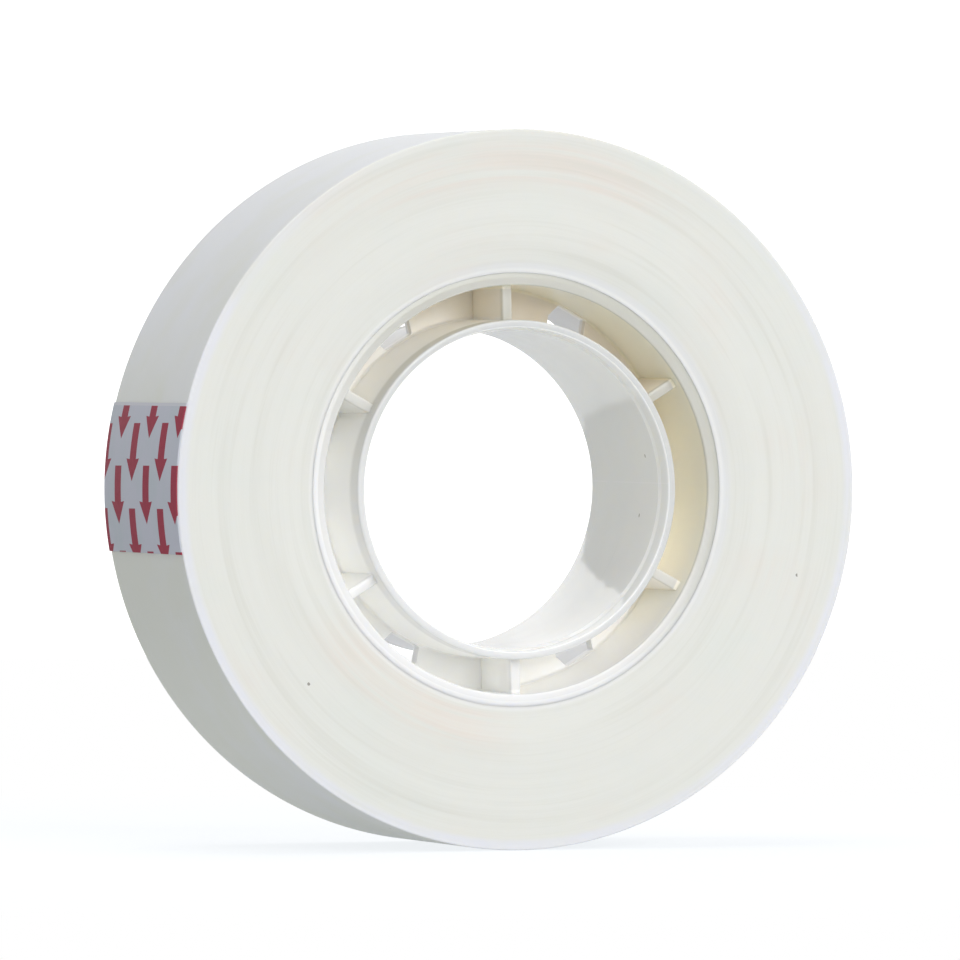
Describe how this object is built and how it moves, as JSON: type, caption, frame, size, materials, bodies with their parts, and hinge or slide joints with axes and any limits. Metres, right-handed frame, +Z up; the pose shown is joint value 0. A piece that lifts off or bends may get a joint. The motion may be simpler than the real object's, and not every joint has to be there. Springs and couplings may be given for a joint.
{
  "type": "roll of adhesive tape",
  "caption": "Full roll of matt adhesive tape wound on a ribbed double-ring plastic core with an open bore, and a printed starter tab on the free end.",
  "frame": {"origin": "centre of the bore, half way across the roll's width", "axes": "+Y along the roll's axis from the front side to the back, +Z up with the roll on its edge, +X to the right seen from the front; the starter tab is on the -X side"},
  "size_m": [0.0575, 0.018, 0.0574],
  "materials": {
    "core_plastic": "glossy moulded plastic, milky white",
    "tape_film": "matt film, cream white, with fine winding lines on the sides of the roll",
    "tab_print": "matt strip, grey with red arrows"
  },
  "bodies": {
    "root": {"core": "core_plastic", "tape": "tape_film", "starter_tab": "tab_print"}
  },
  "joints": []
}
